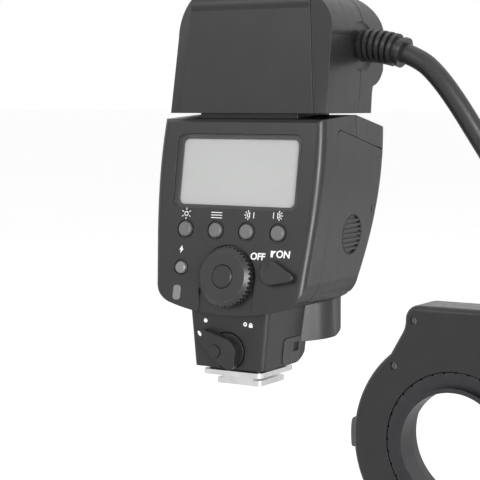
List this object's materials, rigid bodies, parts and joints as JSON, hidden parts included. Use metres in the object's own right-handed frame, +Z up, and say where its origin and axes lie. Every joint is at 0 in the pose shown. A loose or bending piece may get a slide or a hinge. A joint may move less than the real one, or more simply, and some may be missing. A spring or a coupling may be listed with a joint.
{
  "type": "macro ring flash",
  "caption": "Shoe-mounted flash control unit with display, keys and dial, joined by a cable to a ring head with curved light windows and a lens adapter ring.",
  "frame": {"origin": "centre of the shoe foot's underside", "axes": "+Z up through the control unit, +Y forward along the lens axis, +X to the right seen from behind"},
  "size_m": [0.1707, 0.2378, 0.2604],
  "materials": {
    "housing": "fine grain",
    "foot_metal": "satin",
    "window": "clear",
    "display": "grey glass",
    "circuit_board": "varnished",
    "component": "moulded",
    "capacitor_can": "sleeved",
    "winding": "wound",
    "cell": "sleeved",
    "contact": "plated",
    "screw_steel": "blackened",
    "key": "satin",
    "lamp_window": "translucent",
    "lever_plastic": "satin",
    "cord": "satin",
    "diffuser": "ribbed",
    "reflector": "polished",
    "tube_glass": "clear",
    "adapter_metal": "anodised",
    "plate_steel": "stamped"
  },
  "bodies": {
    "flash_unit": {"rear_body_shell": "housing", "front_body_shell": "housing", "head_collar": "housing", "head_rear_shell": "housing", "head_front_shell": "housing", "neck_housing": "housing", "ring_rear_shell": "housing", "ring_front_shell": "housing", "lcd_window": "window", "lcd_panel": "display", "control_board": "circuit_board", "power_board": "circuit_board", "head_board": "circuit_board", "ring_board": "circuit_board", "dial_encoder": "component", "power_switch": "component", "keypad_switches": "component", "battery_tray": "component", "contact_block": "component", "port_insert": "component", "main_capacitor": "capacitor_can", "charging_transformer": "winding", "battery_cells": "cell", "battery_contacts": "contact", "body_screws": "screw_steel", "board_screws": "screw_steel", "foot_screws": "screw_steel", "ring_screws": "screw_steel", "ready_lamp_window": "lamp_window", "shoe_foot": "foot_metal", "lock_flange": "foot_metal", "cable": "cord", "head_strain_relief": "cord", "ring_strain_relief": "cord", "diffusers": "diffuser", "reflectors": "reflector", "flash_tubes": "tube_glass", "focusing_lamps": "tube_glass"},
    "function_key_1": {"function_button_1": "key"},
    "function_key_2": {"function_button_2": "key"},
    "function_key_3": {"function_button_3": "key"},
    "function_key_4": {"function_button_4": "key"},
    "pilot_key": {"pilot_button": "key"},
    "set_key": {"set_button": "key"},
    "dial": {"control_dial": "lever_plastic"},
    "power": {"power_lever": "lever_plastic"},
    "slider": {"door_slider": "component", "door_hinge_pin": "screw_steel"},
    "door": {"battery_door": "housing"},
    "lock": {"lock_lever": "lever_plastic", "lock_lever_hub": "lever_plastic"},
    "lock_release": {"lock_release_button": "key"},
    "shoe_pin": {"lock_pin": "foot_metal"},
    "contacts": {"contact_pins": "contact"},
    "release_left": {"release_button_left": "key", "latch_plate_left": "plate_steel"},
    "release_right": {"release_button_right": "key", "latch_plate_right": "plate_steel"},
    "adapter": {"adapter_ring": "adapter_metal"}
  },
  "joints": [
    {"name": "function_press_1", "type": "slide", "parent": "flash_unit", "child": "function_key_1", "axis": [0, 0.9863, -0.165], "range_m": [0, 0.0007], "stiffness_N_per_m": 600, "springref_m": -0.0014},
    {"name": "function_press_2", "type": "slide", "parent": "flash_unit", "child": "function_key_2", "axis": [0, 0.9863, -0.165], "range_m": [0, 0.0007], "stiffness_N_per_m": 600, "springref_m": -0.0014},
    {"name": "function_press_3", "type": "slide", "parent": "flash_unit", "child": "function_key_3", "axis": [0, 0.9863, -0.165], "range_m": [0, 0.0007], "stiffness_N_per_m": 600, "springref_m": -0.0014},
    {"name": "function_press_4", "type": "slide", "parent": "flash_unit", "child": "function_key_4", "axis": [0, 0.9863, -0.165], "range_m": [0, 0.0007], "stiffness_N_per_m": 600, "springref_m": -0.0014},
    {"name": "pilot_press", "type": "slide", "parent": "flash_unit", "child": "pilot_key", "axis": [0, 0.9863, -0.165], "range_m": [0, 0.0007], "stiffness_N_per_m": 600, "springref_m": -0.0014},
    {"name": "set_press", "type": "slide", "parent": "flash_unit", "child": "set_key", "axis": [0, 0.9863, -0.165], "range_m": [0, 0.0008], "stiffness_N_per_m": 600, "springref_m": -0.0016},
    {"name": "dial_turn", "type": "hinge", "parent": "flash_unit", "child": "dial", "pos_m": [0, -0.01681, 0.04021], "axis": [0, -0.9863, 0.165], "continuous": true},
    {"name": "power_turn", "type": "hinge", "parent": "flash_unit", "child": "power", "pos_m": [0.0188, -0.01641, 0.04258], "axis": [0, -0.9863, 0.165], "range_deg": [-50, 0]},
    {"name": "door_slide", "type": "slide", "parent": "flash_unit", "child": "slider", "axis": [0, -0.165, -0.9863], "range_m": [0, 0.004]},
    {"name": "door_swing", "type": "hinge", "parent": "slider", "child": "door", "pos_m": [0.0316, 0.03456, 0.07227], "axis": [0, 0.165, 0.9863], "range_deg": [0, 90]},
    {"name": "lock_lever_turn", "type": "hinge", "parent": "flash_unit", "child": "lock", "pos_m": [0, -0.016, 0.0134], "axis": [0, 1, 0], "range_deg": [0, 75]},
    {"name": "lock_release_press", "type": "slide", "parent": "lock", "child": "lock_release", "axis": [0, 1, 0], "range_m": [0, 0.0012], "stiffness_N_per_m": 400, "springref_m": -0.0024},
    {"name": "shoe_pin_drop", "type": "slide", "parent": "flash_unit", "child": "shoe_pin", "axis": [0, 0, -1], "range_m": [0, 0.002]},
    {"name": "contact_press", "type": "slide", "parent": "flash_unit", "child": "contacts", "axis": [0, 0, 1], "range_m": [0, 0.0006], "stiffness_N_per_m": 400, "springref_m": -0.0012},
    {"name": "release_press_left", "type": "slide", "parent": "flash_unit", "child": "release_left", "axis": [1, 0, 0], "range_m": [0, 0.0018], "stiffness_N_per_m": 900, "springref_m": -0.0036},
    {"name": "release_press_right", "type": "slide", "parent": "flash_unit", "child": "release_right", "axis": [-1, 0, 0], "range_m": [0, 0.0018], "stiffness_N_per_m": 900, "springref_m": -0.0036},
    {"name": "adapter_turn", "type": "hinge", "parent": "flash_unit", "child": "adapter", "pos_m": [0, 0.19, -0.062], "axis": [0, 1, 0], "continuous": true}
  ],
  "couplings": [
    {"joint": "lock_lever_turn", "follows": "shoe_pin_drop", "rad_per_m": 654.49}
  ]
}
